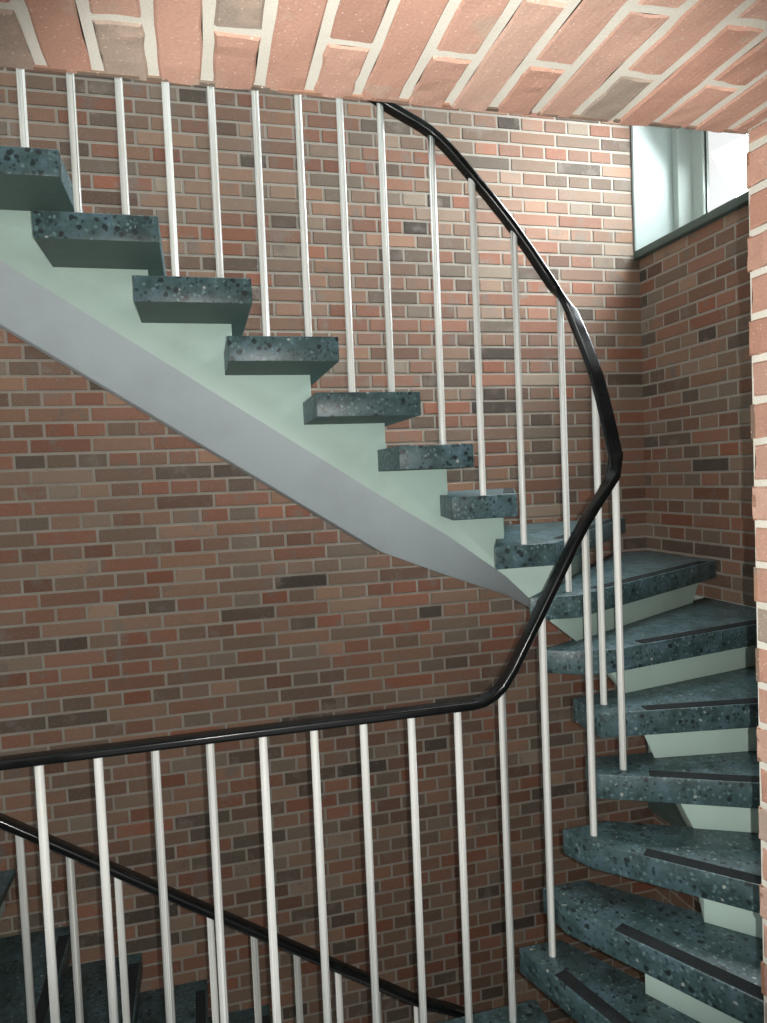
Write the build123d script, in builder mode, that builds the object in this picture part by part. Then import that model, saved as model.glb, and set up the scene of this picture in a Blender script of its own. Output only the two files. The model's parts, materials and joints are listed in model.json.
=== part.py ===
from build123d import *
from math import cos, sin, tan, radians, degrees, pi
import os

os.makedirs("parts", exist_ok=True)

# Frame: X runs right along the back wall, Y points from the doorways to the back wall, Z is up.
# The origin is the middle of the footprint, at ground level. All sizes are in millimetres.

# Masonry
course = 200 / 3                  # brick height with one bed joint
wall_thickness = 360              # one and a half bricks, without the standing brick faces
interior_width = 4208             # from the open left end to the right wall
interior_depth = 2396             # from the front wall to the back wall
wall_courses = 111
storey_courses = 44

# Doorways in the front wall
door_width = 1400
door_height = 2150
door_offset = 1428                # from the right wall to the doorway's right jamb

# Stair
riser_count = 17
going = 260
well_width = 240
front_gap = 63                    # between the treads and the front wall
back_gap = 213
right_gap = 139
well_end_gap = 1130               # between the well's end and the right wall
well_cut_length = 194             # the well's cut far corner, along the flight
well_cut_width = 139
straight_start = 468              # first straight nosing, from the well's end
tread_thickness = 77
tread_lap = 80                    # how far a straight tread runs under the one above it
topping_thickness = 30

# Winders: direction of each nosing in degrees from +X, where its inner end is, counted from the
# well's end in X and from the well's middle line in Y, the direction of the cut at that end, and
# how far the winder runs under the next one
winder_angles = [-75, -62, -48.5, -28.5, -10, 10.5, 28.4, 47, 66, 79]
winder_x = [-299, -197, -104, -34, 0, 94, 36, -9, -143, -293]
winder_y = [-120, -241, -224, -158, -125, -36, 50, 120, 120, 120]
winder_cuts = [90, 98, 109, 115, 90, 167, 172, 180, 180, 180]
winder_laps = [90, 94, 62, 100, 100, 70, 61, 80, 80, 80]

# Spine beam under the treads
spine_width = 380
riser_setback = 50                # riser face behind the nosing
spine_overhang = 280              # tread beyond the spine in the straight flight
spine_side = 276                  # upright side below a tread, at its riser
spine_depth = 475                 # flat bottom below a tread, at its riser
spine_slope = 27                  # lower side against the vertical, in degrees
spine_seat = 300                  # how far the spine runs on under its landing

# The same under each winder: overhang, side, depth, slope and the spine's width
winder_overhang = [285, 213, 301, 232, 152, 50, -100, 192, 265, 280]
winder_side = [230, 170, 100, 0, 0, 0, 0, 250, 235, 249]
winder_depth = [300, 300, 300, 300, 300, 300, 300, 300, 340, 410]
winder_slope = [27, 27, 27, 25, 23, 30, 58, 74, 62, 42]
winder_width = [380, 380, 380, 380, 600, 800, 1130, 380, 380, 380]

# Balustrade
baluster_diameter = 22
baluster_inset = 62               # axis behind the tread ends and landing edges
flight_inset = 22                 # the same along the straight flight
baluster_pitch = 138              # on the landings
first_baluster = 90               # axis behind a straight nosing
rail_radius = 50                  # plan radius of the handrail's corners
rail_width = 45
rail_height = 26
rail_rounding = 10
flight_rail = 840                 # underside of the rail above the line of nosings
landing_rail = 950                # underside of the rail above a landing
rail_step = 35                    # spacing of the handrail's sections in its bends
rail_end = 60                     # handrail past its lowest baluster

# Balusters around the turn, from the floor up: distance downhill from the turn's first bend,
# tread each stands on (0 is the floor), and the rail's underside over the flight's floor
turn_places = [746, 611, 461, 320, 212, 33, -126, -269, -403]
turn_tread = [0, 1, 3, 4, 5, 7, 8, 9, 10]
turn_rail = [985, 1194, 1445, 1644, 1912, 2195, 2415, 2580, 2711]

# Corner windows in the right wall
window_width = 1200
window_head = 15                  # courses from the landing's floor to the window's head
sill_drop = 181                   # sill top below the floor of its landing
reveal_lining = 12
lining_nose = 30                  # lining proud of the right wall's face
frame_inset = 200                 # fixed frame behind the wall's face
frame_depth = 145
frame_bar = 45
casement_depth = 55
casement_bar = 75
glass_thickness = 24
sill_thickness = 40
sill_nose = 35

# Derived places
storey_height = storey_courses * course
riser = storey_height / riser_count
landing_thickness = riser - topping_thickness    # level with the last tread's top
wall_height = wall_courses * course
x_right = (interior_width - wall_thickness) / 2
x_left = x_right - interior_width
y_back = interior_depth / 2
y_front = -y_back
x_outer = x_right + wall_thickness
far_limit = y_back - back_gap                    # outer ends of the treads
near_limit = y_front + front_gap
right_limit = x_right - right_gap
y_middle = (far_limit + near_limit) / 2
y_far = y_middle + well_width / 2                # inner ends of the far flight
y_near = y_middle - well_width / 2               # inner ends of the near flight
x_well = x_right - well_end_gap
straight_count = riser_count - len(winder_angles)
first_straight = x_well - straight_start         # first straight nosing
x_arrival = first_straight - going * (straight_count - 1)
x_strip_end = x_well + winder_x[0] + riser_setback
door_right = x_right - door_offset
door_left = door_right - door_width
reach = interior_width                           # past every limit in plan
floors = {"lower": 0, "upper": storey_height}


def slab(x0, x1, y0, y1, z0, z1):
    with BuildPart() as block:
        with BuildSketch(Plane.XY.offset(z0)):
            with Locations(((x0 + x1) / 2, (y0 + y1) / 2)):
                Rectangle(x1 - x0, y1 - y0)
        extrude(amount=z1 - z0)
    return block.part


def save(part, name):
    part.label = name
    export_step(part, "parts/" + name + ".step")


# Nosing lines, from the first riser up to the landing: a point at the inner end, and an angle
nosings = [(x_well + dx, y_middle + dy, a) for dx, dy, a in zip(winder_x, winder_y, winder_angles)]
for step in range(straight_count):
    nosings.append((first_straight - going * step, y_far, 90))


def direction(angle):
    return Vector(cos(radians(angle)), sin(radians(angle)), 0)


def uphill(angle):
    return Vector(-sin(radians(angle)), cos(radians(angle)), 0)


def riser_line(number):
    x, y, angle = nosings[number - 1]
    return Vector(x, y, 0) + uphill(angle) * riser_setback, direction(angle)


# The well between the tread ends, with its far right corner cut off
with BuildSketch() as well_outline:
    with BuildLine():
        Polyline(
            (x_left - reach, y_near), (x_well, y_near), (x_well, y_far - well_cut_width),
            (x_well - well_cut_length, y_far), (x_left - reach, y_far), close=True)
    make_face()


def tread(number, base):
    x, y, angle = nosings[number - 1]
    x_next, y_next, angle_next = nosings[number]
    front = Vector(x, y, 0)
    cut, lap = 180, tread_lap
    if number <= len(winder_angles):
        cut, lap = winder_cuts[number - 1], winder_laps[number - 1]
    back = Vector(x_next, y_next, 0) + uphill(angle_next) * lap
    inward = well_width
    away = uphill(cut) * reach
    top = base + number * riser
    with BuildPart() as step:
        with BuildSketch(Plane.XY.offset(top - tread_thickness)):
            with BuildLine():
                Polyline(
                    front - direction(angle) * inward, front + direction(angle) * reach,
                    back + direction(angle_next) * reach, back - direction(angle_next) * inward, close=True)
            make_face()
            with Locations(((x_left + right_limit) / 2, (far_limit + near_limit) / 2)):
                Rectangle(right_limit - x_left, far_limit - near_limit, mode=Mode.INTERSECT)
            add(well_outline.sketch, mode=Mode.SUBTRACT)
            with BuildLine():
                Polyline(
                    front - direction(cut) * reach, front + direction(cut) * reach,
                    front + direction(cut) * reach + away, front - direction(cut) * reach + away, close=True)
            make_face(mode=Mode.SUBTRACT)
        extrude(amount=tread_thickness)
    return step.part


def joined(pieces):
    with BuildPart() as group:
        add(pieces)
    return group.part


# Spine: one tooth under each tread, lofted between upright sections at the riser lines
def spine_section(number, base):
    overhang, side, depth, lean = spine_overhang, spine_side, spine_depth, spine_slope
    width = spine_width
    if number < 1:
        # springs from the edge of the landing's near strip
        origin, along = Vector(x_strip_end, y_near, 0), direction(-90)
        side, depth = landing_thickness / 2, landing_thickness
        level = base - topping_thickness
    elif number > riser_count:
        # runs out under the landing slab
        origin, along = Vector(x_arrival - riser_setback - spine_seat, y_far, 0), direction(90)
        side, depth = course, 2 * course
        level = base + storey_height - topping_thickness - landing_thickness
    else:
        origin, along = riser_line(number)
        level = base + number * riser - tread_thickness
        if number <= len(winder_angles):
            overhang, side = winder_overhang[number - 1], winder_side[number - 1]
            depth, lean = winder_depth[number - 1], winder_slope[number - 1]
            width = winder_width[number - 1]
    inset = (depth - side) * tan(radians(lean))
    inner_inset, outer_inset = min(inset, width * 3 / 4), min(inset, width / 5)
    inner, outer = overhang, overhang + width
    plane = Plane(origin=origin, x_dir=along, z_dir=Vector(along.Y, -along.X, 0))
    with BuildSketch(plane) as section:
        with BuildLine():
            Polyline(
                (inner, level + storey_height), (inner, level - side), (inner + inner_inset, level - depth),
                (outer - outer_inset, level - depth), (outer, level - side), (outer, level + storey_height),
                close=True)
        make_face()
    return section.sketch


def tooth(number, base, top):
    with BuildPart() as block:
        loft([spine_section(number, base), spine_section(number + 1, base)], ruled=True)
        split(bisect_by=Plane.XY.offset(top), keep=Keep.BOTTOM)
        split(bisect_by=Plane.XY, keep=Keep.TOP)
    return block.part


for name, base in floors.items():
    treads = [tread(number, base) for number in range(1, riser_count)]
    winders = len(winder_angles)
    save(joined(treads[:winders]), name + "_winder_treads")
    save(joined(treads[winders:]), name + "_straight_treads")
    teeth = [tooth(0, base, base - topping_thickness)] if base else []
    for number in range(1, riser_count):
        teeth.append(tooth(number, base, base + number * riser - tread_thickness))
    teeth.append(tooth(riser_count, base, base + storey_height - topping_thickness - landing_thickness))
    with BuildPart() as spine:
        add(teeth)
        add(treads, mode=Mode.SUBTRACT)
    save(spine.part, name + "_spine")


# Landings: an arrival part over the full depth and a strip along the front wall
def landing(base, z0, z1, trim):
    with BuildPart() as plate:
        with BuildSketch(Plane.XY.offset(base + z0)):
            with BuildLine():
                Polyline(
                    (x_left, y_front), (x_strip_end - trim, y_front), (x_strip_end - trim, y_near),
                    (x_arrival - trim, y_near), (x_arrival - trim, y_back), (x_left, y_back), close=True)
            make_face()
        extrude(amount=z1 - z0)
    return plate.part


for name, base in (("first", storey_height), ("second", 2 * storey_height)):
    save(landing(base, -topping_thickness - landing_thickness, -topping_thickness, riser_setback),
         name + "_landing_slab")
    save(landing(base, -topping_thickness, 0, 0), name + "_landing_topping")

# Baluster line, a closed loop in plan: far flight, turn, near guard, return at the landing
y_far_rail = y_far + flight_inset
y_near_rail = y_near - baluster_inset
x_turn = x_well + baluster_inset - rail_radius
x_return = x_arrival - baluster_inset + rail_radius
bend = pi / 2 * rail_radius
side = y_far_rail - y_near_rail - 2 * rail_radius
half_turn = 2 * bend + side
line_length = x_turn - x_return
slope = riser / going


# Point and heading on the loop, counted downhill from the turn's first bend
def turn_point(distance):
    if distance < 0:
        return Vector(x_turn + distance, y_far_rail), 0
    if distance < bend:
        angle = distance / rail_radius
        x, y = rail_radius * sin(angle), rail_radius * cos(angle)
        return Vector(x_turn + x, y_far_rail - rail_radius + y), -degrees(angle)
    if distance < bend + side:
        return Vector(x_turn + rail_radius, y_far_rail - rail_radius - distance + bend), -90
    if distance < half_turn:
        angle = (distance - bend - side) / rail_radius
        x, y = rail_radius * cos(angle), rail_radius * sin(angle)
        return Vector(x_turn + x, y_near_rail + rail_radius - y), -90 - degrees(angle)
    return Vector(x_turn - distance + half_turn, y_near_rail), -180


# The same past the near guard, around the return at the landing
def loop_point(distance):
    if distance < half_turn + line_length:
        return turn_point(distance)
    point, heading = turn_point(distance - half_turn - line_length)
    return Vector(x_return + x_turn - point.X, y_far_rail + y_near_rail - point.Y), heading - 180


# Height of the handrail's underside above the floor where its flight starts
knots = [(turn_places[0] + baluster_pitch, landing_rail)] + list(zip(turn_places, turn_rail))


def flight_line(x):
    return (len(winder_angles) + 1) * riser + (first_straight - x) * slope + flight_rail


for step in (first_baluster, first_baluster + going / 2):
    knots.append((first_straight - step - x_turn, flight_line(first_straight - step)))


# Smooth curve through the knots, then the straight flight's own slope up to the landing's level
def rail_height_at(distance):
    if distance >= knots[0][0]:
        return knots[0][1]
    if distance <= knots[-1][0]:
        return min(knots[-1][1] - (distance - knots[-1][0]) * slope, storey_height + landing_rail)
    below = [k for k, knot in enumerate(knots) if knot[0] >= distance][-1]
    (d1, h1), (d2, h2) = knots[below], knots[below + 1]
    d0, h0 = knots[below - 1] if below else (d1 + baluster_pitch, h2)
    d3, h3 = knots[below + 2] if below + 2 < len(knots) else (d2 - going, h2 + riser)
    part = (d1 - distance) / (d1 - d2)
    m1 = (h2 - h0) / (d0 - d2) * (d1 - d2)
    m2 = (h3 - h1) / (d1 - d3) * (d1 - d2)
    cubic, square = part ** 3, part ** 2
    return ((2 * cubic - 3 * square + 1) * h1 + (cubic - 2 * square + part) * m1
            + (3 * square - 2 * cubic) * h2 + (cubic - square) * m2)


# Uphill distances are negative and go on past the flight's top, around the return at the landing
def rail_place(distance):
    if distance >= -line_length:
        return turn_point(distance)
    return loop_point(distance + 2 * (half_turn + line_length))


def rail(base, distances, height):
    sections = []
    for distance in distances:
        point, heading = rail_place(distance)
        near, far = rail_step / 10, -rail_step / 10
        fall = (height(distance + far) - height(distance + near)) / (near - far)
        tangent = direction(heading) - Vector(0, 0, fall)
        origin = point + Vector(0, 0, base + height(distance))
        with BuildSketch(Plane(origin=origin, x_dir=direction(heading + 90), z_dir=tangent)) as cut:
            with Locations((0, rail_height / 2)):
                RectangleRounded(rail_width, rail_height, rail_rounding)
        sections.append(cut.sketch)
    with BuildPart() as bar:
        loft(sections, ruled=True)
    return bar.part


def marks(start, stop):
    count = max(1, round(abs(stop - start) / rail_step))
    return [start + (stop - start) * step / count for step in range(count + 1)]


def bars(places, *rails):
    with BuildPart() as row:
        for x, y, foot, top in places:
            with BuildSketch(Plane.XY.offset(foot)):
                with Locations((x, y)):
                    Circle(baluster_diameter / 2)
            extrude(amount=top - foot)
        for bar in rails:
            add(bar, mode=Mode.SUBTRACT)
    return row.part


guard_start = knots[0][0]
flight_top = -line_length
return_end = flight_top - half_turn
middle = rail_height / 2
flights = {}
for name, base in floors.items():
    start = guard_start + rail_end if base else turn_places[0] + rail_end
    bend_marks = marks(start, knots[-1][0]) + marks(flight_top, return_end)
    flight = rail(base, bend_marks, rail_height_at)
    flights[name] = flight
    save(flight, name + "_handrail")
    turn_bars = []
    for distance, number in zip(turn_places, turn_tread):
        point, heading = turn_point(distance)
        top = rail_height_at(distance) + middle
        turn_bars.append((point.X, point.Y, base + number * riser, base + top))
    save(bars(turn_bars, flight), name + "_turn_balusters")
    flight_bars = []
    for number in range(len(winder_angles) + 1, riser_count):
        for behind in (first_baluster, first_baluster + going / 2):
            x = nosings[number - 1][0] - behind
            top = flight_line(x) + middle
            flight_bars.append((x, y_far_rail, base + number * riser, base + top))
    save(bars(flight_bars, flight), name + "_flight_balusters")

# Level guards on the two landings; the second one turns to the front wall where the floor ends
x_corner = x_strip_end - rail_width / 2 - rail_radius


# Around the second landing's free corner, from the near guard to the front wall
def corner_place(distance):
    if distance < 0:
        return Vector(x_corner + distance, y_near_rail), 0
    if distance < bend:
        angle = distance / rail_radius
        x, y = rail_radius * sin(angle), rail_radius * cos(angle)
        return Vector(x_corner + x, y_near_rail - rail_radius + y), -degrees(angle)
    return Vector(x_corner + rail_radius, y_near_rail - rail_radius - distance + bend), -90


def level_rail(base, places):
    height = base + landing_rail + middle
    sections = []
    for point, heading in places:
        origin = Vector(point.X, point.Y, height)
        plane = Plane(origin=origin, x_dir=direction(heading + 90), z_dir=direction(heading))
        with BuildSketch(plane) as cut:
            RectangleRounded(rail_width, rail_height, rail_rounding)
        sections.append(cut.sketch)
    with BuildPart() as bar:
        loft(sections, ruled=True)
    return bar.part


guard_from, guard_to = rail_place(return_end)[0], turn_point(guard_start + rail_end)[0]
first_rail = level_rail(floors["upper"], [(guard_from, 0), (guard_to, 0)])
wall_end = bend + y_near_rail - rail_radius - y_front
corner = [(guard_from, 0)] + [corner_place(d) for d in marks(0, bend)] + [corner_place(wall_end)]
second_rail = level_rail(storey_height * 2, corner)
save(first_rail, "first_landing_handrail")
save(second_rail, "second_landing_handrail")
# Balusters of the landings, with the rail's underside over the landing at each
return_bars, guard_bars = [], []
distance = guard_start
while distance < 2 * half_turn + line_length - baluster_pitch / 2:
    point, heading = loop_point(distance)
    if distance < half_turn + line_length:
        guard_bars.append((point.X, point.Y, landing_rail))
    else:
        uphill_distance = distance - 2 * (half_turn + line_length)
        return_bars.append((point.X, point.Y, rail_height_at(uphill_distance) - storey_height))
    distance += baluster_pitch
end_bars = []
distance = baluster_pitch + guard_bars[0][0] - x_corner
while distance < wall_end - baluster_inset:
    point, heading = corner_place(distance)
    end_bars.append((point.X, point.Y, landing_rail))
    distance += baluster_pitch
for name, base, line, rails in (
    ("first_landing_guard", floors["upper"], guard_bars, (first_rail, flights["upper"])),
    ("second_landing_guard", storey_height * 2, guard_bars, (second_rail,)),
    ("second_landing_end", storey_height * 2, end_bars, (second_rail,)),
    ("first_landing_return", floors["upper"], return_bars, (first_rail, flights["lower"])),
    ("second_landing_return", storey_height * 2, return_bars, (second_rail, flights["upper"])),
):
    save(bars([(x, y, base, base + height + middle) for x, y, height in line], *rails), name + "_balusters")

# Walls: the back one runs the full length, the others stand between it and the front one
y_outer_front = y_front - wall_thickness
y_outer_back = y_back + wall_thickness
y_window = y_back - window_width
save(slab(x_left, x_outer, y_back, y_outer_back, 0, wall_height), "back_wall")
save(slab(x_left, door_left, y_outer_front, y_front, 0, wall_height), "front_wall_left_pier")
save(slab(door_right, x_outer, y_outer_front, y_front, 0, wall_height), "front_wall_right_pier")
for name, base in (("ground", 0), ("first", storey_height)):
    lintel = slab(door_left, door_right, y_outer_front, y_front, base + door_height, base + storey_height)
    save(lintel, name + "_doorway_lintel")
save(slab(x_right, x_outer, y_front, y_window, 0, wall_height), "right_wall_pier")
sill_tops = [level - sill_drop for level in (storey_height, storey_height * 2)]
head_levels = [level + window_head * course for level in (storey_height, storey_height * 2)]
for name, foot, top in (
    ("base", 0, sill_tops[0] - sill_thickness),
    ("spandrel", head_levels[0], sill_tops[1] - sill_thickness),
    ("head", head_levels[1], wall_height),
):
    save(slab(x_right, x_outer, y_window, y_back, foot, top), "right_wall_" + name)

# Corner windows
x_frame = x_right + frame_inset
x_lining = x_frame + frame_depth
x_casement = x_lining - casement_depth
for name, sill_top, head in zip(floors, sill_tops, head_levels):
    sill = slab(x_right - sill_nose, x_outer, y_window, y_back, sill_top - sill_thickness, sill_top)
    save(sill, name + "_window_sill")
    y0, y1 = y_window + reveal_lining, y_back - reveal_lining
    z0, z1 = sill_top, head - reveal_lining
    with BuildPart() as lining:
        add(slab(x_right - lining_nose, x_lining, y_window, y_back, sill_top, head))
        add(slab(x_right - lining_nose, x_lining, y0, y1, z0, z1), mode=Mode.SUBTRACT)
    save(lining.part, name + "_window_lining")
    rebate = (y0 + frame_bar, y1 - frame_bar, z0 + frame_bar, z1 - frame_bar)
    frame_width = frame_bar + casement_bar
    light = (y0 + frame_width, y1 - frame_width, z0 + frame_width, z1 - frame_width)
    with BuildPart() as frame:
        add(slab(x_frame, x_lining, y0, y1, z0, z1))
        add(slab(x_frame, x_casement, *rebate), mode=Mode.SUBTRACT)
        add(slab(x_casement, x_lining, *light), mode=Mode.SUBTRACT)
    save(frame.part, name + "_window_frame")
    x_glass = x_casement + (casement_depth - glass_thickness) / 2
    save(slab(x_glass, x_glass + glass_thickness, *light), name + "_window_glass")
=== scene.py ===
import bpy
import random
from math import radians, floor, sin, cos
from mathutils import Matrix, Vector, noise
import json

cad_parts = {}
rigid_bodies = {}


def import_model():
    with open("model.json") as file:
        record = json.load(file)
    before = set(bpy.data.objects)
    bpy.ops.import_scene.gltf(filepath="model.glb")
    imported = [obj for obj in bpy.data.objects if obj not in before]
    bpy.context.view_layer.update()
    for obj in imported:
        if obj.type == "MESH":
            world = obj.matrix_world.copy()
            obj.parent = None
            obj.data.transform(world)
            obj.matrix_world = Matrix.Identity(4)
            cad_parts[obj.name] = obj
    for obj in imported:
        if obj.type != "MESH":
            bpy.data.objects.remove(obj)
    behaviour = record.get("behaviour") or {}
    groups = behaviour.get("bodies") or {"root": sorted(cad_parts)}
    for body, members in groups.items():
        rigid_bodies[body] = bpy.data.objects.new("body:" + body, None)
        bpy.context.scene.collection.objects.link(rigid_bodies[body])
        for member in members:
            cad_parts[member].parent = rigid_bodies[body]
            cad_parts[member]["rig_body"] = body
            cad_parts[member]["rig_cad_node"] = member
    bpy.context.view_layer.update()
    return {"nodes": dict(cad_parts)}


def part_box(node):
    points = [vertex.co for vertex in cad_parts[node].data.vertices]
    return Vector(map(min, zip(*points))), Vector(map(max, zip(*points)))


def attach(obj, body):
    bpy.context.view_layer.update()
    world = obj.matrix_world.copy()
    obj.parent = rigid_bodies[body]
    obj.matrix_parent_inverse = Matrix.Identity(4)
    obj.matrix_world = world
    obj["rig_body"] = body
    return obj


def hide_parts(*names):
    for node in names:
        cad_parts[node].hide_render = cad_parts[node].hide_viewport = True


# A brick stairwell with terrazzo flights. Bricks, nosing strips and sealant are modelled here, and the
# rest is the CAD frame with its arrises taken off. Lengths are in metres.
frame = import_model()
scene = bpy.context.scene
nodes = frame["nodes"]
print("frame loaded:", len(nodes), "nodes")


# colours are written as sRGB hex and turned to linear here
def colour(code):
    parts = [int(code[i:i + 2], 16) / 255 for i in (1, 3, 5)]
    return tuple(p / 12.92 if p <= 0.04045 else ((p + 0.055) / 1.055) ** 2.4 for p in parts) + (1.0,)


# adds a node, sets its inputs and its properties, and links other sockets to it
def addNode(tree, kind, values=None, links=None, stops=None, **settings):
    node = tree.nodes.new(kind)
    for key, value in settings.items():
        setattr(node, key, value)
    for key, value in (values or {}).items():
        node.inputs[key].default_value = value
    for key, socket in (links or {}).items():
        tree.links.new(socket, node.inputs[key])
    if stops:
        ramp = node.color_ramp
        while len(ramp.elements) < len(stops):
            ramp.elements.new(1.0)
        for element, (place, code) in zip(ramp.elements, stops):
            element.position = place
            element.color = colour(code)
    return node


# values name the shader's inputs, with _ for a space
def startMaterial(name, **values):
    material = bpy.data.materials.new(name)
    material.use_nodes = True
    tree = material.node_tree
    shader = tree.nodes["Principled BSDF"]
    for key, value in values.items():
        shader.inputs[key.replace("_", " ")].default_value = value
    place = addNode(tree, "ShaderNodeTexCoord").outputs["Object"]
    return material, tree, shader, place


# a finish that drifts between two shades
def cloudedFinish(name, look, **values):
    material, tree, shader, place = startMaterial(name, **values)
    cloud = addNode(tree, "ShaderNodeTexNoise", {"Scale": look["cloudsPerMetre"], "Detail": look["detail"]},
                    {"Vector": place})
    tint = addNode(tree, "ShaderNodeMix", {6: colour(look["base"]), 7: colour(look["stain"])},
                   {0: cloud.outputs["Fac"]}, data_type="RGBA")
    tree.links.new(tint.outputs[2], shader.inputs["Base Color"])
    return material, tree, shader, cloud


def deselectAll():
    if bpy.context.object and bpy.context.object.mode != "OBJECT":
        bpy.ops.object.mode_set(mode="OBJECT")
    bpy.ops.object.select_all(action="DESELECT")


def makeActive(piece):
    deselectAll()
    piece.select_set(True)
    bpy.context.view_layer.objects.active = piece


# selects the faces or edges of the active mesh that wanted picks, and ends in edit mode
def selectParts(mesh, kind, wanted):
    bpy.ops.object.mode_set(mode="EDIT")
    bpy.ops.mesh.select_mode(type=kind)
    bpy.ops.mesh.select_all(action="DESELECT")
    bpy.ops.object.mode_set(mode="OBJECT")
    for part in (mesh.edges if kind == "EDGE" else mesh.polygons):
        part.select = wanted(part)
    bpy.ops.object.mode_set(mode="EDIT")


# a box in its real size and place, with the object itself at the origin
def addBox(name, size, middle):
    deselectAll()
    bpy.ops.mesh.primitive_cube_add(size=1, location=middle)
    box = bpy.context.object
    box.name = name
    box.dimensions = size
    bpy.ops.object.transform_apply(location=True, rotation=True, scale=True)
    return box


# takes the sharp edges off and applies it
def roundEdges(piece, width, segments, sharpest):
    bevel = piece.modifiers.new("arris", "BEVEL")
    bevel.width = width
    bevel.segments = segments
    bevel.limit_method = "ANGLE"
    bevel.angle_limit = radians(sharpest)
    makeActive(piece)
    bpy.ops.object.modifier_apply(modifier=bevel.name)


# gives a finished piece its materials, its body and the nodes it stands for
def finishPiece(piece, materials, slot, *stoodFor):
    for material in materials if isinstance(materials, list) else [materials]:
        piece.data.materials.append(material)
    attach(piece, "root")
    if stoodFor:
        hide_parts(*stoodFor)
    return piece


dressing = {
    "merge": 0.00005,      # corners nearer than this are one
    "flat": 1,             # degrees between triangles of one face
    "sharpest": 28,        # degrees from which an edge gets an arris
    "terrazzo": 0.003, "slab": 0.003, "spine": 0.002, "lining": 0.002, "frame": 0.004, "sill": 0.004,
}


# a merged copy of a CAD node, with its flat faces whole again and its arrises taken off
def dressNode(node, name, arris=0.0, segments=2, smooth=30):
    piece = nodes[node].copy()
    piece.data = nodes[node].data.copy()
    piece.name = piece.data.name = name
    piece.parent = None
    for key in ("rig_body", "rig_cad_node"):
        del piece[key]
    scene.collection.objects.link(piece)
    piece.data.materials.clear()
    makeActive(piece)
    bpy.ops.object.mode_set(mode="EDIT")
    bpy.ops.mesh.select_all(action="SELECT")
    bpy.ops.mesh.remove_doubles(threshold=dressing["merge"])
    bpy.ops.mesh.dissolve_limited(angle_limit=radians(dressing["flat"]))
    bpy.ops.mesh.normals_make_consistent(inside=False)
    bpy.ops.object.mode_set(mode="OBJECT")
    if arris:
        roundEdges(piece, arris, segments, dressing["sharpest"])
    makeActive(piece)
    bpy.ops.object.shade_smooth_by_angle(angle=radians(smooth))
    return piece


# the camera stands in front of the first landing's doorway
view = {
    "place": (-0.384, -2.195, 4.5553),
    "turn": -14.30, "tilt": -2.58, "roll": 2.40,
    "focal": 725,          # pixels, in a frame 767 wide and 1023 high
    "frameHeight": 1023,
    "sensor": 36,
    "clipStart": 0.02,
}
cameraData = bpy.data.cameras.new("doorwayView")
camera = bpy.data.objects.new("doorwayView", cameraData)
scene.collection.objects.link(camera)
cameraData.sensor_width = view["sensor"]
cameraData.lens = view["focal"] / view["frameHeight"] * cameraData.sensor_width
cameraData.clip_start = view["clipStart"]
viewTurn = (Matrix.Rotation(radians(view["turn"]), 4, "Z") @ Matrix.Rotation(radians(view["tilt"]), 4, "X")
            @ Matrix.Rotation(radians(view["roll"]), 4, "Y"))
lookAlongY = Matrix.Rotation(radians(90), 4, "X")
camera.matrix_world = Matrix.Translation(view["place"]) @ viewTurn @ lookAlongY
scene.camera = camera
scene.view_settings.view_transform = "Standard"

# English bond
bond = {
    "course": 0.2 / 3,     # height of a brick and its bed joint
    "stretcher": 0.253,    # length of a brick and its joint
    "header": 0.1265,      # the same across a brick
    "joint": 0.012,
    "bedShift": -0.010,    # middle of a bed joint, from a whole number of courses
    "phase": -1.072,       # middle of one joint in a stretcher course
    "relief": 0.003,       # brick face in front of the joint
    "buried": 0.006,
    "thinnest": 0.012,     # no brick is cut lower than this
    "shortest": 0.004,     # or shorter than this
    "sliver": 0.045,       # and below this it joins the next one
}
# bricks of the walls, and rougher ones around the doorways
brickKinds = {
    "wall": {"arris": 0.0018, "cuts": 0, "shake": 0.0009, "wander": 0.0007},
    "doorway": {"arris": 0.003, "cuts": 5, "shake": 0.0032, "wander": 0.0012},
}
unevenness = {
    "seed": 11,            # of the noise, so that every run lays the same bricks
    "wavesPerMetre": 37,   # how soon an arris wanders back
    "inAndOut": 0.6,       # share of the shake that moves the face in and out
    "lean": 8,             # how far a brick's lean grows in a metre
}
noise.seed_set(unevenness["seed"])


# one brick, modelled once: its face looks along -Y and stands proud of y = 0
def modelBrick(kind):
    values = brickKinds[kind]
    arris = values["arris"]
    length, height = bond["stretcher"] - bond["joint"], bond["course"] - bond["joint"]
    depth = bond["relief"] + bond["buried"] - arris
    brick = addBox(kind + "Brick", (length, depth, height), (0, bond["buried"] - depth / 2, 0))
    selectParts(brick.data, "FACE", lambda polygon: polygon.normal.y < -0.5)
    if values["cuts"]:
        bpy.ops.mesh.subdivide(number_cuts=values["cuts"])
    bpy.ops.mesh.inset(thickness=arris, depth=arris)
    bpy.ops.object.mode_set(mode="OBJECT")
    shape = {
        "points": [v.co.copy() for v in brick.data.vertices],
        "faces": [list(p.vertices) for p in brick.data.polygons],
        "length": length, "height": height, "rim": arris * 1.01,
    }
    bpy.data.objects.remove(brick)
    return shape


brickShapes = {kind: modelBrick(kind) for kind in brickKinds}


# stretches a brick to another length without making its arrises wider
def stretchTo(value, half, newHalf, rim):
    side = 1 if value > 0 else -1
    if abs(value) >= half - rim:
        return side * (newHalf - (half - abs(value)))
    return value * (newHalf - rim) / (half - rim)


# cuts the openings, as (start, end, foot, top), out of one course
def cutCourse(run, openings):
    runs = [run]
    for a, b, openFoot, openTop in openings:
        kept = []
        for s, e, l, h in runs:
            if b <= s or a >= e or openFoot >= h or openTop <= l:
                kept.append((s, e, l, h))
                continue
            if s < a:
                kept.append((s, a, l, h))
            if openFoot > l + bond["thinnest"]:
                kept.append((max(s, a), min(e, b), l, openFoot))
            if openTop < h - bond["thinnest"]:
                kept.append((max(s, a), min(e, b), openTop, h))
            if e > b:
                kept.append((b, e, l, h))
        runs = kept
    return runs


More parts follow.
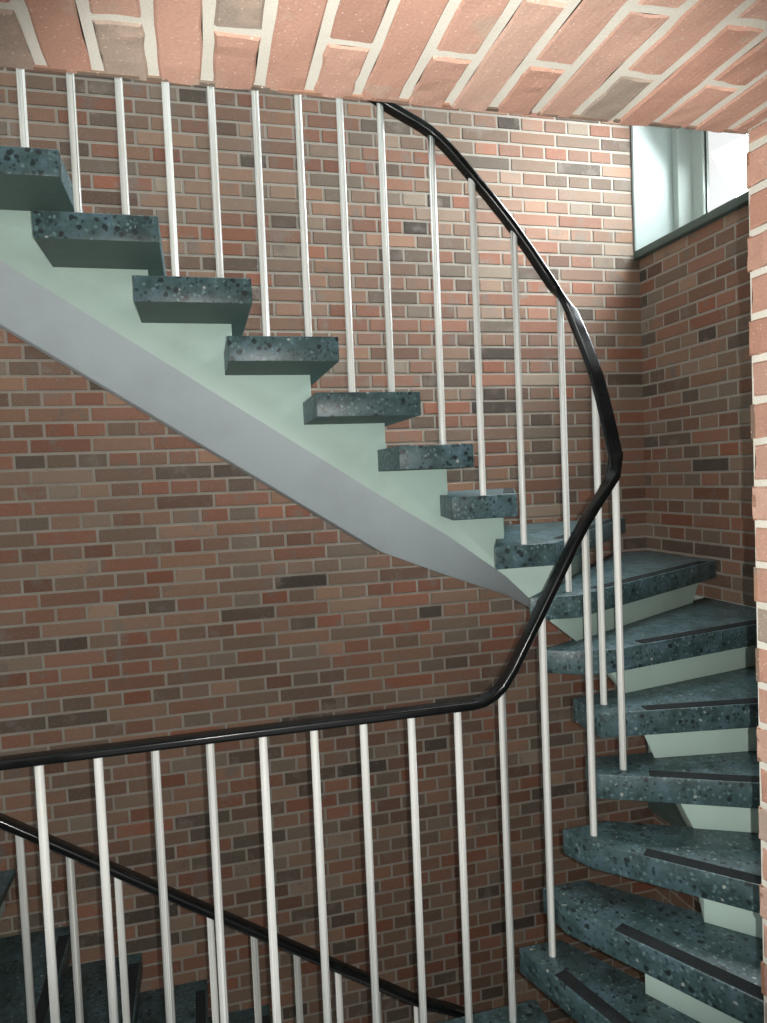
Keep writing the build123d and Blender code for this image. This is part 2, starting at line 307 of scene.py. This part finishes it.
# the bricks of a wall face as (start, end, foot, top), cut at its ends and openings
def layCourses(start, end, foot, top, openings=(), swap=0, phase=None, course=None, bedShift=None):
    phase = bond["phase"] if phase is None else phase
    course = course or bond["course"]
    bedShift = bond["bedShift"] if bedShift is None else bedShift
    half = bond["joint"] / 2
    bricks = []
    for row in range(floor((foot - bedShift) / course) - 1, floor((top - bedShift) / course) + 1):
        low = max(foot, row * course + bedShift + half)
        high = min(top, (row + 1) * course + bedShift - half)
        if high - low < bond["thinnest"]:
            continue
        isHeader = (row + swap) % 2 == 0
        step = bond["header"] if isHeader else bond["stretcher"]
        shift = phase + bond["stretcher"] / 4 if isHeader else phase
        for s, e, l, h in cutCourse((start, end, low, high), openings):
            line = []
            for k in range(floor((s - shift) / step), floor((e - shift) / step) + 1):
                a, b = max(s, shift + k * step + half), min(e, shift + (k + 1) * step - half)
                if b - a > bond["shortest"]:
                    line.append([a, b, l, h])
            if len(line) > 1 and line[-1][1] - line[-1][0] < bond["sliver"]:
                sliver = line.pop()
                line[-1][1] = sliver[1]
            if len(line) > 1 and line[0][1] - line[0][0] < bond["sliver"]:
                sliver = line.pop(0)
                line[0][0] = sliver[0]
            bricks += line
    return bricks


# copies the brick to every place of one or more faces and joins them as one piece
def buildBricks(name, sides, kind="wall", seed=1):
    shape, values = brickShapes[kind], brickKinds[kind]
    wander = values["wander"]
    dice = random.Random(seed)
    points, faces, tones, shades = [], [], [], []
    for side in sides:
        along, inward = Vector(side["along"]), Vector(side["inward"])
        up = along.cross(inward)
        place = Vector(side["place"])
        for a, b, foot, top in side["bricks"]:
            first = len(points)
            tone, shade = dice.random(), dice.random()
            proud = dice.uniform(-wander, wander)
            lean = dice.uniform(-wander, wander)
            middle, level = (a + b) / 2, (foot + top) / 2
            for p in shape["points"]:
                x = stretchTo(p.x, shape["length"] / 2, (b - a) / 2, shape["rim"])
                z = stretchTo(p.z, shape["height"] / 2, (top - foot) / 2, shape["rim"])
                spot = place + along * (middle + x) + up * (level + z)
                wave = noise.noise_vector(spot * unevenness["wavesPerMetre"] + Vector((seed, 0, 0)))
                shake = wave * values["shake"]
                y = p.y
                if y < 0:
                    y += proud + lean * x * unevenness["lean"] + shake.y * unevenness["inAndOut"]
                points.append(spot + along * shake.x + up * shake.z + inward * y)
            faces += [[v + first for v in face] for face in shape["faces"]]
            tones += [tone] * len(shape["points"])
            shades += [shade] * len(shape["points"])
    mesh = bpy.data.meshes.new(name)
    mesh.from_pydata(points, [], faces)
    for key, row in (("tone", tones), ("shade", shades)):
        attribute = mesh.attributes.new(key, "FLOAT", "POINT")
        attribute.data.foreach_set("value", row)
    mesh.update()
    piece = bpy.data.objects.new(name, mesh)
    scene.collection.objects.link(piece)
    triangles = sum(len(f) - 2 for f in faces)
    print("bricks laid:", name, len(faces) // len(shape["faces"]), "bricks,", triangles, "triangles")
    return piece


# places read from the frame
backBox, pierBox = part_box("back_wall"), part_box("front_wall_right_pier")
xLeft, xOuter = backBox[0].x, backBox[1].x
yBack, yOuterBack, wallTop = backBox[0].y, backBox[1].y, backBox[1].z
yOuterFront, yFront, doorRight = pierBox[0].y, pierBox[1].y, pierBox[0].x
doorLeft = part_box("front_wall_left_pier")[1].x
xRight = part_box("right_wall_pier")[0].x
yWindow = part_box("right_wall_pier")[1].y
lintels = [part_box(node) for node in ("ground_doorway_lintel", "first_doorway_lintel")]
sills = [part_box(node) for node in ("lower_window_sill", "upper_window_sill")]
linings = [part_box(node) for node in ("lower_window_lining", "upper_window_lining")]
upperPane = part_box("upper_window_glass")
proud = bond["relief"]
doorFloors = [0.0, lintels[0][1].z, lintels[1][1].z]
doorHeads = [lintels[0][0].z, lintels[1][0].z, wallTop + 1]  # the last doorway is open at its top

inward = {"north": (0, 1, 0), "south": (0, -1, 0), "east": (1, 0, 0), "west": (-1, 0, 0)}
along = {"north": (1, 0, 0), "south": (-1, 0, 0), "east": (0, -1, 0), "west": (0, 1, 0)}


# a standing face: into names the side that its wall lies on, as seen from the face
def face(into, place, bricks):
    return {"along": along[into], "inward": inward[into], "place": place, "bricks": bricks}


# three rows of bricks laid flat along the top of a wall
def wallTopFace(start, end, low, high, lengthways=True):
    bricks = layCourses(start, end, low, high, course=(high - low) / 3, bedShift=low)
    return {"along": (1, 0, 0) if lengthways else (0, 1, 0), "inward": (0, 0, -1),
            "place": (0, 0, wallTop), "bricks": bricks}


soldierLook = {
    "halfJoint": 0.007,
    "firstBrick": 0.4,              # share of the first brick that is left
    "crossJoints": (0.119, 0.244),  # from the outer face, in even and in odd bricks
}


# bricks on edge across a doorway
def soldierRows(level, into):
    rows, pitch, half = [], bond["course"], soldierLook["halfJoint"]
    near, far = yOuterFront - proud, yFront + proud
    start = doorLeft + soldierLook["firstBrick"] * pitch - pitch
    for row in range(floor((doorRight - start) / pitch) + 1):
        low, high = start + row * pitch + half, start + (row + 1) * pitch - half
        low, high = max(low, doorLeft + half), min(high, doorRight - half)
        cut = near + soldierLook["crossJoints"][row % 2]
        rows += [(near, cut - half, low, high), (cut + half, far, low, high)]
    if into < 0:
        rows = [(a, b, -h, -l) for a, b, l, h in rows]
    return {"along": (0, 1, 0), "inward": (0, 0, into), "place": (0, 0, level), "bricks": rows}


def mirrored(openings):
    return [(-b, -a, foot, head) for a, b, foot, head in openings]


doorways = [(doorLeft + proud, doorRight - proud, f, h - proud) for f, h in zip(doorFloors, doorHeads)]
windows = [(yWindow, yBack, s[0].z, l[1].z) for s, l in zip(sills, linings)]
ends = (-yFront - proud, -yOuterFront + proud)  # of the front wall's thickness, as seen from its right

backBricks = buildBricks("back_wall_bricks", [
    face("north", (0, yBack, 0), layCourses(xLeft - proud, xRight, 0, wallTop)),
    face("south", (0, yOuterBack, 0), layCourses(-xOuter - proud, -xLeft + proud, 0, wallTop)),
    face("east", (xLeft, 0, 0), layCourses(-yOuterBack - proud, -yBack + proud, 0, wallTop, swap=1)),
    wallTopFace(xLeft - proud, xOuter + proud, yBack, yOuterBack),
], seed=3)
frontBricks = buildBricks("front_wall_bricks", [
    face("south", (0, yFront, 0), layCourses(-xRight, -xLeft + proud, 0, wallTop, mirrored(doorways))),
    face("north", (0, yOuterFront, 0), layCourses(xLeft - proud, xOuter + proud, 0, wallTop, doorways)),
    face("east", (xLeft, 0, 0), layCourses(*ends, 0, wallTop, swap=1)),
    wallTopFace(xLeft - proud, doorLeft + proud, yOuterFront, yFront),
    wallTopFace(doorRight - proud, xOuter + proud, yOuterFront, yFront),
    soldierRows(doorFloors[1], -1), soldierRows(doorFloors[2], -1),
], seed=5)
rightBricks = buildBricks("right_wall_bricks", [
    face("east", (xRight, 0, 0), layCourses(-yBack, -yFront, 0, wallTop, mirrored(windows), swap=1)),
    face("west", (xOuter, 0, 0),
         layCourses(yOuterFront - proud, yOuterBack + proud, 0, wallTop, windows, swap=1)),
    wallTopFace(yFront, yBack, -xOuter, -xRight, lengthways=False),
], seed=7)
jambs = []
for foot, head in zip(doorFloors, doorHeads):
    head = min(head, wallTop)
    jambs.append(face("east", (doorRight, 0, 0), layCourses(*ends, foot, head, phase=ends[0], swap=1)))
    jambs.append(face("west", (doorLeft, 0, 0),
                      layCourses(-ends[1], -ends[0], foot, head, phase=-ends[1], swap=1)))
jambs += [soldierRows(doorHeads[0], 1), soldierRows(doorHeads[1], 1)]
jambBricks = buildBricks("doorway_bricks", jambs, kind="doorway", seed=9)

# hard fired clay brick: coarse and matt, each one another tone, with greyer patches and pale lime pits
clay = {"patchSize": 0.09, "grain": 0.004, "pitsPerMetre": 110.0, "pit": "#C9B7A6", "roughness": 0.88}
wallClay = {
    "tones": [(0.0, "#6C5648"), (0.10, "#865C49"), (0.22, "#756354"), (0.34, "#8C6B56"), (0.46, "#5A4D42"),
              (0.56, "#855541"), (0.68, "#796B5C"), (0.78, "#443B33"), (0.86, "#8F7561"), (0.94, "#774D3A"),
              (1.0, "#887A6A")],
    "patch": "#73675D", "patchShare": 0.06, "spread": 0.20,
}
doorwayClay = {
    "tones": [(0.0, "#9E7968"), (0.25, "#A98574"), (0.5, "#987160"), (0.9, "#AC8C7C"), (0.96, "#8A7D70"),
              (1.0, "#85796C")],
    "patch": "#A08C7C", "patchShare": 0.0, "spread": 0.08,
}


def clayBrick(name, look):
    material, tree, shader, place = startMaterial(name, Roughness=clay["roughness"])
    tone = addNode(tree, "ShaderNodeAttribute", attribute_name="tone")
    shade = addNode(tree, "ShaderNodeAttribute", attribute_name="shade")
    ramp = addNode(tree, "ShaderNodeValToRGB", links={0: tone.outputs["Fac"]}, stops=look["tones"])
    cloud = addNode(tree, "ShaderNodeTexNoise",
                    {"Scale": 1 / clay["patchSize"], "Detail": 3.0, "Roughness": 0.6}, {"Vector": place})
    share = look["patchShare"]
    mask = addNode(tree, "ShaderNodeMapRange", {1: 0.62 - share, 2: 0.72 - share / 2, 3: 0.0, 4: 0.85},
                   {0: cloud.outputs["Fac"]})
    patched = addNode(tree, "ShaderNodeMix", {7: colour(look["patch"])},
                      {0: mask.outputs[0], 6: ramp.outputs[0]}, data_type="RGBA")
    lightness = addNode(tree, "ShaderNodeMapRange", {3: 1 - look["spread"], 4: 1 + look["spread"]},
                        {0: shade.outputs["Fac"]})
    tinted = addNode(tree, "ShaderNodeVectorMath", links={0: patched.outputs[2], 1: lightness.outputs[0]},
                     operation="MULTIPLY")
    grain = addNode(tree, "ShaderNodeTexNoise", {"Scale": 1 / clay["grain"], "Detail": 4.0, "Roughness": 0.7},
                    {"Vector": place})
    speckle = addNode(tree, "ShaderNodeMapRange", {1: 0.3, 2: 0.7, 3: 0.86, 4: 1.13},
                      {0: grain.outputs["Fac"]})
    grained = addNode(tree, "ShaderNodeVectorMath", links={0: tinted.outputs[0], 1: speckle.outputs[0]},
                      operation="MULTIPLY")
    pits = addNode(tree, "ShaderNodeTexVoronoi", {"Scale": clay["pitsPerMetre"]}, {"Vector": place})
    spots = addNode(tree, "ShaderNodeMapRange", {1: 0.10, 2: 0.16, 3: 0.6, 4: 0.0},
                    {0: pits.outputs["Distance"]})
    spotted = addNode(tree, "ShaderNodeMix", {7: colour(clay["pit"])},
                      {0: spots.outputs[0], 6: grained.outputs[0]}, data_type="RGBA")
    tree.links.new(spotted.outputs[2], shader.inputs["Base Color"])
    bump = addNode(tree, "ShaderNodeBump", {"Strength": 0.45, "Distance": 0.0015},
                   {"Height": grain.outputs["Fac"]})
    tree.links.new(bump.outputs[0], shader.inputs["Normal"])
    return material


wallBrick = clayBrick("firedClayBrick", wallClay)
jambBrick = clayBrick("salmonClayBrick", doorwayClay)
for piece in (backBricks, frontBricks, rightBricks):
    finishPiece(piece, wallBrick, "brickwork")
finishPiece(jambBricks, jambBrick, "brickwork")

# cement and lime mortar: struck a little back, sandy, matt and paler than the bricks
mortarLook = {
    "cement": ("#8F877B", "#A09A8F"), "lime": ("#B2AFA3", "#C4C1B6"),
    "cloudsPerMetre": 6.0,
    "sandPerMetre": 420.0,  # grains of 2.4 mm, coarser than real sand, so that they show
}


def mortar(name, base, light):
    material, tree, shader, place = startMaterial(name, Roughness=0.95)
    cloud = addNode(tree, "ShaderNodeTexNoise",
                    {"Scale": mortarLook["cloudsPerMetre"], "Detail": 5.0, "Roughness": 0.65},
                    {"Vector": place})
    sand = addNode(tree, "ShaderNodeTexNoise", {"Scale": mortarLook["sandPerMetre"], "Detail": 3.0},
                   {"Vector": place})
    mixed = addNode(tree, "ShaderNodeMapRange", {1: 0.3, 2: 0.7}, {0: cloud.outputs["Fac"]})
    tint = addNode(tree, "ShaderNodeMix", {6: colour(base), 7: colour(light)}, {0: mixed.outputs[0]},
                   data_type="RGBA")
    grit = addNode(tree, "ShaderNodeMapRange", {1: 0.3, 2: 0.7, 3: 0.88, 4: 1.08}, {0: sand.outputs["Fac"]})
    gritty = addNode(tree, "ShaderNodeVectorMath", links={0: tint.outputs[2], 1: grit.outputs[0]},
                     operation="MULTIPLY")
    tree.links.new(gritty.outputs[0], shader.inputs["Base Color"])
    bump = addNode(tree, "ShaderNodeBump", {"Strength": 0.5, "Distance": 0.001},
                   {"Height": sand.outputs["Fac"]})
    tree.links.new(bump.outputs[0], shader.inputs["Normal"])
    return material


cementMortar = mortar("cementMortar", *mortarLook["cement"])
limeMortar = mortar("limeMortar", *mortarLook["lime"])
for name in nodes:
    if "wall" in name or "lintel" in name:
        nodes[name].data.materials.clear()
        nodes[name].data.materials.append(limeMortar if "front" in name or "lintel" in name else cementMortar)
print("walls done")

# terrazzo: grey-green cement with black and pale stone chips, ground and waxed on top, matt underneath
chipLook = {
    "chip": 0.012, "largeChip": 0.026,
    "cloud": 0.07,         # metres from one darker patch of cement to the next
    "warpsPerMetre": 60.0,
    "matrix": "#435A5C", "groundDark": "#324647", "groundPale": "#526A73",
    "dark": "#1C2527",     # the large black chips
    "stones": [(0.0, "#28383C"), (0.24, "#435A5C"), (0.50, "#496161"), (0.74, "#627B7D"), (0.93, "#6A8084"),
               (0.985, "#A3ABA4")],
    "cast": "#4E5F57",     # skin of cement where it came from the mould
    "polishedRoughness": 0.42, "castRoughness": 0.65,
}


def terrazzo(name, polished):
    roughness = chipLook["polishedRoughness"] if polished else chipLook["castRoughness"]
    material, tree, shader, place = startMaterial(name, Roughness=roughness)
    warp = addNode(tree, "ShaderNodeTexNoise", {"Scale": chipLook["warpsPerMetre"], "Detail": 2.0},
                   {"Vector": place})
    bent = addNode(tree, "ShaderNodeMix", {0: 0.012}, {4: place, 5: warp.outputs["Color"]},
                   data_type="VECTOR")
    small = addNode(tree, "ShaderNodeTexVoronoi", {"Scale": 1 / chipLook["chip"]},
                    {"Vector": bent.outputs[1]})
    large = addNode(tree, "ShaderNodeTexVoronoi", {"Scale": 1 / chipLook["largeChip"]},
                    {"Vector": bent.outputs[1]})
    smallTone = addNode(tree, "ShaderNodeSeparateColor", links={0: small.outputs["Color"]})
    largeTone = addNode(tree, "ShaderNodeSeparateColor", links={0: large.outputs["Color"]})
    stone = addNode(tree, "ShaderNodeValToRGB", links={0: smallTone.outputs[0]}, stops=chipLook["stones"])
    stone.color_ramp.interpolation = "CONSTANT"
    cloud = addNode(tree, "ShaderNodeTexNoise",
                    {"Scale": 1 / chipLook["cloud"], "Detail": 4.0, "Roughness": 0.6}, {"Vector": place})
    ground = addNode(tree, "ShaderNodeValToRGB", links={0: cloud.outputs["Fac"]}, stops=[
        (0.36, chipLook["groundDark"]), (0.50, chipLook["matrix"]), (0.64, chipLook["groundPale"])])
    edge = addNode(tree, "ShaderNodeMapRange", {1: 0.28, 2: 0.52}, {0: small.outputs["Distance"]})
    bedded = addNode(tree, "ShaderNodeMix",
                     links={0: edge.outputs[0], 6: stone.outputs[0], 7: ground.outputs[0]},
                     data_type="RGBA")
    pick = addNode(tree, "ShaderNodeMapRange", {1: 0.70, 2: 0.72}, {0: largeTone.outputs[1]})
    near = addNode(tree, "ShaderNodeMapRange", {1: 0.26, 2: 0.36, 3: 0.9, 4: 0.0},
                   {0: large.outputs["Distance"]})
    black = addNode(tree, "ShaderNodeMath", links={0: pick.outputs[0], 1: near.outputs[0]},
                    operation="MULTIPLY")
    chipped = addNode(tree, "ShaderNodeMix", {7: colour(chipLook["dark"])},
                      {0: black.outputs[0], 6: bedded.outputs[2]}, data_type="RGBA")
    if polished:
        tree.links.new(chipped.outputs[2], shader.inputs["Base Color"])
    else:
        dull = addNode(tree, "ShaderNodeMix", {0: 0.88, 7: colour(chipLook["cast"])},
                       {6: chipped.outputs[2]}, data_type="RGBA")
        tree.links.new(dull.outputs[2], shader.inputs["Base Color"])
    return material


polishedTerrazzo = terrazzo("polishedTerrazzo", True)
castTerrazzo = terrazzo("castTerrazzo", False)
for flight in ("lower", "upper"):
    for kind in ("winder", "straight"):
        node = flight + "_" + kind + "_treads"
        piece = dressNode(node, node + "_ground", dressing["terrazzo"])
        for polygon in piece.data.polygons:  # undersides are left as they came from the mould
            polygon.material_index = 1 if polygon.normal.z < -0.7 else 0
        finishPiece(piece, [polishedTerrazzo, castTerrazzo], "terrazzo", node)
for level in ("first", "second"):
    node = level + "_landing_topping"
    finishPiece(dressNode(node, node + "_ground", dressing["terrazzo"]), polishedTerrazzo, "terrazzo", node)
print("treads done")

# ribbed rubber strips on the nosings
stripLook = {
    "width": 0.040, "base": 0.002, "rib": 0.0015, "ribs": 7,
    "setback": 0.007,      # behind the nosing
    "fromInnerEnd": 0.150, "fromOuterEnd": 0.07,
}
# the CAD stair's plan again: the corner treads' inner ends and the directions of their nosings in degrees
stairPlan = {
    "innerEnds": [(0.495, -0.195), (0.597, -0.316), (0.690, -0.299), (0.760, -0.233), (0.794, -0.200),
                  (0.888, -0.111), (0.830, -0.025), (0.785, 0.045), (0.651, 0.045), (0.501, 0.045)],
    "angles": [-75, -62, -48.5, -28.5, -10, 10.5, 28.4, 47, 66, 79],
    "firstStraight": 0.326, "going": 0.26, "risers": 17,
    "straightNosings": 7,  # the last one is the landing's edge
    "nearLimit": -1.135, "farLimit": 0.985, "rightLimit": 1.785,
}


# one metre of strip along X, half of its base let into the tread below z = 0
def modelStrip():
    strip = addBox("nosingStrip", (1, stripLook["width"], stripLook["base"]), (0.5, 0, 0))
    mesh = strip.data
    sides = [v.co.y > 0 for v in mesh.vertices]
    selectParts(mesh, "EDGE", lambda edge: sides[edge.vertices[0]] != sides[edge.vertices[1]])
    bpy.ops.mesh.subdivide(number_cuts=2 * stripLook["ribs"])
    pitch = stripLook["width"] / (2 * stripLook["ribs"] + 1)

    def onRib(polygon):
        place = (polygon.center.y + stripLook["width"] / 2) / pitch
        return polygon.normal.z > 0.5 and int(place) % 2 == 0

    selectParts(mesh, "FACE", onRib)
    bpy.ops.mesh.extrude_region_move(TRANSFORM_OT_translate={"value": (0, 0, stripLook["rib"])})
    bpy.ops.object.mode_set(mode="OBJECT")
    return strip


# copies the strip to one nosing, from near its inner end to near its outer end
def layStrip(strip, x, y, angle, level):
    way = Vector((cos(radians(angle)), sin(radians(angle)), 0))
    uphill = Vector((-way.y, way.x, 0))
    limits = [(stairPlan["rightLimit"] - x, way.x), (stairPlan["nearLimit"] - y, way.y),
              (stairPlan["farLimit"] - y, way.y)]
    run = min(distance / slope for distance, slope in limits if distance * slope > 0)
    length = run - stripLook["fromInnerEnd"] - stripLook["fromOuterEnd"]
    piece = strip.copy()
    piece.data = strip.data.copy()
    scene.collection.objects.link(piece)
    corner = Vector((x, y, level)) + way * stripLook["fromInnerEnd"]
    corner += uphill * (stripLook["setback"] + stripLook["width"] / 2)
    for vertex in piece.data.vertices:
        spot = vertex.co
        vertex.co = corner + way * (spot.x * length) + uphill * spot.y + Vector((0, 0, spot.z))
    return piece


# moulded rubber: nearly black and matt
rubberLook = {"base": "#141A1C", "stain": "#262C2D", "cloudsPerMetre": 30.0, "detail": 5.0}
stripRubber = cloudedFinish("blackStripRubber", rubberLook, Roughness=0.7)[0]
strip = modelStrip()
riser = doorFloors[1] / stairPlan["risers"]
for flight, base in (("lower", 0.0), ("upper", doorFloors[1])):
    places = [(x, y, a) for (x, y), a in zip(stairPlan["innerEnds"], stairPlan["angles"])]
    for number in range(stairPlan["straightNosings"]):
        places.append((stairPlan["firstStraight"] - number * stairPlan["going"],
                       stairPlan["innerEnds"][-1][1], 90))
    laid = [layStrip(strip, x, y, a, base + (k + 1) * riser) for k, (x, y, a) in enumerate(places)]
    deselectAll()
    for piece in laid:
        piece.select_set(True)
    bpy.context.view_layer.objects.active = laid[0]
    bpy.ops.object.join()
    laid[0].name = flight + "_nosing_strips"
    finishPiece(laid[0], stripRubber, "handrail")
bpy.data.objects.remove(strip)
print("nosing strips done")

# wall and gloss paint: rolled or brushed on, so faintly napped, and faintly stained
paintLook = {
    # grey is painted shade: a greyer, bluer copy of the mint paint for the spine's soffit
    "mint": ("#BAD2C7", "#AFC4B9", 0.5), "grey": ("#B4BFC2", "#A8B1B4", 0.5),  # paint, stain, roughness
    "lining": ("#C7D3CF", "#BECAC5", 0.4), "frame": ("#AEB8B1", "#A3ADA6", 0.4),
    "stainsPerMetre": 3.0,
    "napPerMetre": 260.0,     # one dimple every 4 mm
    "shadedSoffitFrom": (0.9, 0.05),  # only the straight flight's soffit, left of x and behind y, is grey
}


def painted(name, base, stain, roughness):
    material, tree, shader, place = startMaterial(name, Roughness=roughness)
    cloud = addNode(tree, "ShaderNodeTexNoise",
                    {"Scale": paintLook["stainsPerMetre"], "Detail": 6.0, "Roughness": 0.62},
                    {"Vector": place})
    mask = addNode(tree, "ShaderNodeMapRange", {1: 0.48, 2: 0.75}, {0: cloud.outputs["Fac"]})
    tint = addNode(tree, "ShaderNodeMix", {6: colour(base), 7: colour(stain)}, {0: mask.outputs[0]},
                   data_type="RGBA")
    tree.links.new(tint.outputs[2], shader.inputs["Base Color"])
    nap = addNode(tree, "ShaderNodeTexNoise", {"Scale": paintLook["napPerMetre"], "Detail": 2.0},
                  {"Vector": place})
    bump = addNode(tree, "ShaderNodeBump", {"Strength": 0.12, "Distance": 0.0008},
                   {"Height": nap.outputs["Fac"]})
    tree.links.new(bump.outputs[0], shader.inputs["Normal"])
    return material


mintPaint = painted("mintWallPaint", *paintLook["mint"])
# the grey copy of the mint paint is painted shade on the straight flight's soffit
shadeGreyedPaint = painted("mintPaintGreyedAsShade", *paintLook["grey"])
for flight in ("lower", "upper"):
    node = flight + "_spine"
    piece = dressNode(node, node + "_painted", dressing["spine"])
    # faces that look down on the straight flight's soffit get the grey copy, as painted shade
    for polygon in piece.data.polygons:
        middle = polygon.center
        rising = middle.x < paintLook["shadedSoffitFrom"][0] and middle.y > paintLook["shadedSoffitFrom"][1]
        polygon.material_index = 1 if polygon.normal.z < -0.3 and rising else 0
    finishPiece(piece, [mintPaint, shadeGreyedPaint], "painted_concrete", node)
for level in ("first", "second"):
    node = level + "_landing_slab"
    finishPiece(dressNode(node, node + "_painted", dressing["slab"]), mintPaint, "painted_concrete", node)
print("painted concrete done")

# gloss enamel on mild steel bar: white, smooth, a little shiny
enamelLook = {"base": "#EEF0EB", "stain": "#E2E3DC", "cloudsPerMetre": 14.0, "detail": 4.0}
whiteEnamel = cloudedFinish("whiteEnamelOnSteel", enamelLook, Roughness=0.35, Coat_Weight=0.3)[0]
# extruded vinyl handrail: black and glossy, dulled a little by hands
railLook = {"base": "#0B0D0D", "stain": "#121515", "cloudsPerMetre": 9.0, "detail": 5.0,
            "glossy": 0.16, "dulled": 0.34}
blackRail, tree, shader, cloud = cloudedFinish("blackVinylHandrail", railLook, Coat_Weight=0.12,
                                               Coat_Roughness=0.12, Specular_IOR_Level=0.25)
rubbed = addNode(tree, "ShaderNodeMapRange", {1: 0.35, 2: 0.65, 3: railLook["glossy"], 4: railLook["dulled"]},
                 {0: cloud.outputs["Fac"]})
tree.links.new(rubbed.outputs[0], shader.inputs["Roughness"])
for node in nodes:
    if node.endswith("balusters"):
        finishPiece(dressNode(node, node + "_enamelled", smooth=50), whiteEnamel, "painted_steel", node)
    if node.endswith("handrail"):
        finishPiece(dressNode(node, node + "_smooth", smooth=50), blackRail, "handrail", node)
print("balustrade done")

# windows: brushed gloss on lining and frame, and a stone sill, honed matt
whiteGloss = painted("whiteGlossLining", *paintLook["lining"])
frameGrey = painted("greyPaintedFrame", *paintLook["frame"])
sillStone = terrazzo("honedSillStone", False)
for flight in ("lower", "upper"):
    node = flight + "_window_lining"
    finishPiece(dressNode(node, node + "_painted", dressing["lining"]), whiteGloss, "white_plaster", node)
    node = flight + "_window_frame"
    finishPiece(dressNode(node, node + "_painted", dressing["frame"], segments=3), frameGrey, "window_frame",
                node)
    node = flight + "_window_sill"
    finishPiece(dressNode(node, node + "_honed", dressing["sill"]), sillStone, "sill_stone", node)

# a bead of silicone sealant where each lining meets the brick face, made dark and dull as painted shade for
# the shadow gap there
beadLook = {"width": 0.009, "depth": 0.010, "rounding": 0.003, "past": 0.004, "sunk": 0.001,
            "base": "#3F4440", "stain": "#5A5C55", "cloudsPerMetre": 40.0, "detail": 3.0}
sealant = cloudedFinish("shadeDarkSealant", beadLook, Roughness=0.6)[0]
for flight, lining in zip(("lower", "upper"), linings):
    size = (beadLook["width"], beadLook["depth"], lining[1].z - lining[0].z)
    middle = (lining[0].x - beadLook["past"], yBack - proud - beadLook["sunk"],
              (lining[0].z + lining[1].z) / 2)
    bead = addBox(flight + "_window_sealant", size, middle)
    roundEdges(bead, beadLook["rounding"], 3, 30)
    finishPiece(bead, sealant, "sill_stone")

# float glass: clear and smooth, with hardly a reflection of its own
windowGlass = startMaterial("floatGlass", Roughness=0.0, IOR=1.45, Transmission_Weight=1.0,
                            Base_Color=colour("#FDFFFE"), Specular_IOR_Level=0.05)[0]
for flight in ("lower", "upper"):
    node = flight + "_window_glass"
    finishPiece(dressNode(node, flight + "_window_pane"), windowGlass, "glass", node)
print("windows done")

# pale floor, white backdrop and soft light
studio = {
    "floor": "#E9E8E4", "floorSize": 60, "floorDrop": 0.002,
    "sky": (0.93, 0.97, 1.0, 1.0), "skyStrength": 0.72,
    "backdrop": (1, 1, 1, 1), "backdropStrength": 1.0,
}
deselectAll()
bpy.ops.mesh.primitive_plane_add(size=studio["floorSize"], location=(0, 0, -studio["floorDrop"]))
floorPlane = bpy.context.object
floorPlane.name = "studioFloor"
floorPaint = startMaterial("paleFloor", Roughness=0.8, Base_Color=colour(studio["floor"]))[0]
floorPlane.data.materials.append(floorPaint)

world = bpy.data.worlds.new("studio")
scene.world = world
world.use_nodes = True
tree = world.node_tree
sky = tree.nodes["Background"]
sky.inputs["Color"].default_value = studio["sky"]
sky.inputs["Strength"].default_value = studio["skyStrength"]
backdrop = addNode(tree, "ShaderNodeBackground",
                   {"Color": studio["backdrop"], "Strength": studio["backdropStrength"]})
ray = addNode(tree, "ShaderNodeLightPath")
seen = ray.outputs["Is Camera Ray"]
for kind in ("Is Glossy Ray", "Is Transmission Ray"):
    either = addNode(tree, "ShaderNodeMath", links={0: seen, 1: ray.outputs[kind]}, operation="MAXIMUM")
    seen = either.outputs[0]
choose = addNode(tree, "ShaderNodeMixShader",
                 links={0: seen, 1: sky.outputs[0], 2: backdrop.outputs[0]})
tree.links.new(choose.outputs[0], tree.nodes["World Output"].inputs[0])


def addLamp(name, kind, look, place, towards, **settings):
    data = bpy.data.lights.new(name, kind)
    data.energy = look["power"]
    data.color = look["tint"]
    for key, value in settings.items():
        setattr(data, key, value)
    lamp = bpy.data.objects.new(name, data)
    lamp.location = place
    lamp.rotation_euler = (Vector(towards) - Vector(place)).to_track_quat("-Z", "Y").to_euler()
    lamp.visible_camera = False
    scene.collection.objects.link(lamp)


# a small lamp just right of the camera, daylight from the corner window and from above, and a soft sun
lampLook = {
    "near": {"power": 120, "tint": (1.0, 0.98, 0.94), "beside": 0.03, "radius": 0.002, "cone": 86,
             "blend": 0.35},
    "window": {"power": 60, "tint": (0.88, 0.96, 1.0), "inside": 0.15, "aim": (0.6, 0.7, 5.3), "side": 0.85,
               "spread": 115},
    "top": {"power": 10, "tint": (0.97, 0.99, 1.0), "x": -0.3, "below": 0.1, "length": 2.6, "width": 1.8},
    "sun": {"power": 1.2, "tint": (1.0, 0.98, 0.95), "place": (1.5, -2.4, 8), "angle": 20},
}
near, window, top, sun = (lampLook[kind] for kind in ("near", "window", "top", "sun"))
rightward = (viewTurn @ Vector((1, 0, 0))).normalized()
forward = (viewTurn @ Vector((0, 1, 0))).normalized()
nearPlace = Vector(view["place"]) + rightward * near["beside"]
windowPlace = (linings[1][1].x - window["inside"], (upperPane[0].y + upperPane[1].y) / 2,
               (upperPane[0].z + upperPane[1].z) / 2)
addLamp("nearLamp", "SPOT", near, nearPlace, nearPlace + forward, shadow_soft_size=near["radius"],
        spot_size=radians(near["cone"]), spot_blend=near["blend"])
addLamp("windowLight", "AREA", window, windowPlace, window["aim"], shape="RECTANGLE", size=window["side"],
        size_y=window["side"], spread=radians(window["spread"]))
addLamp("topLight", "AREA", top, (top["x"], 0, wallTop - top["below"]), (top["x"], 0, 0), shape="RECTANGLE",
        size=top["length"], size_y=top["width"])
addLamp("highSun", "SUN", sun, sun["place"], (0, 0, 0), angle=radians(sun["angle"]))
print("stage and lamps done")
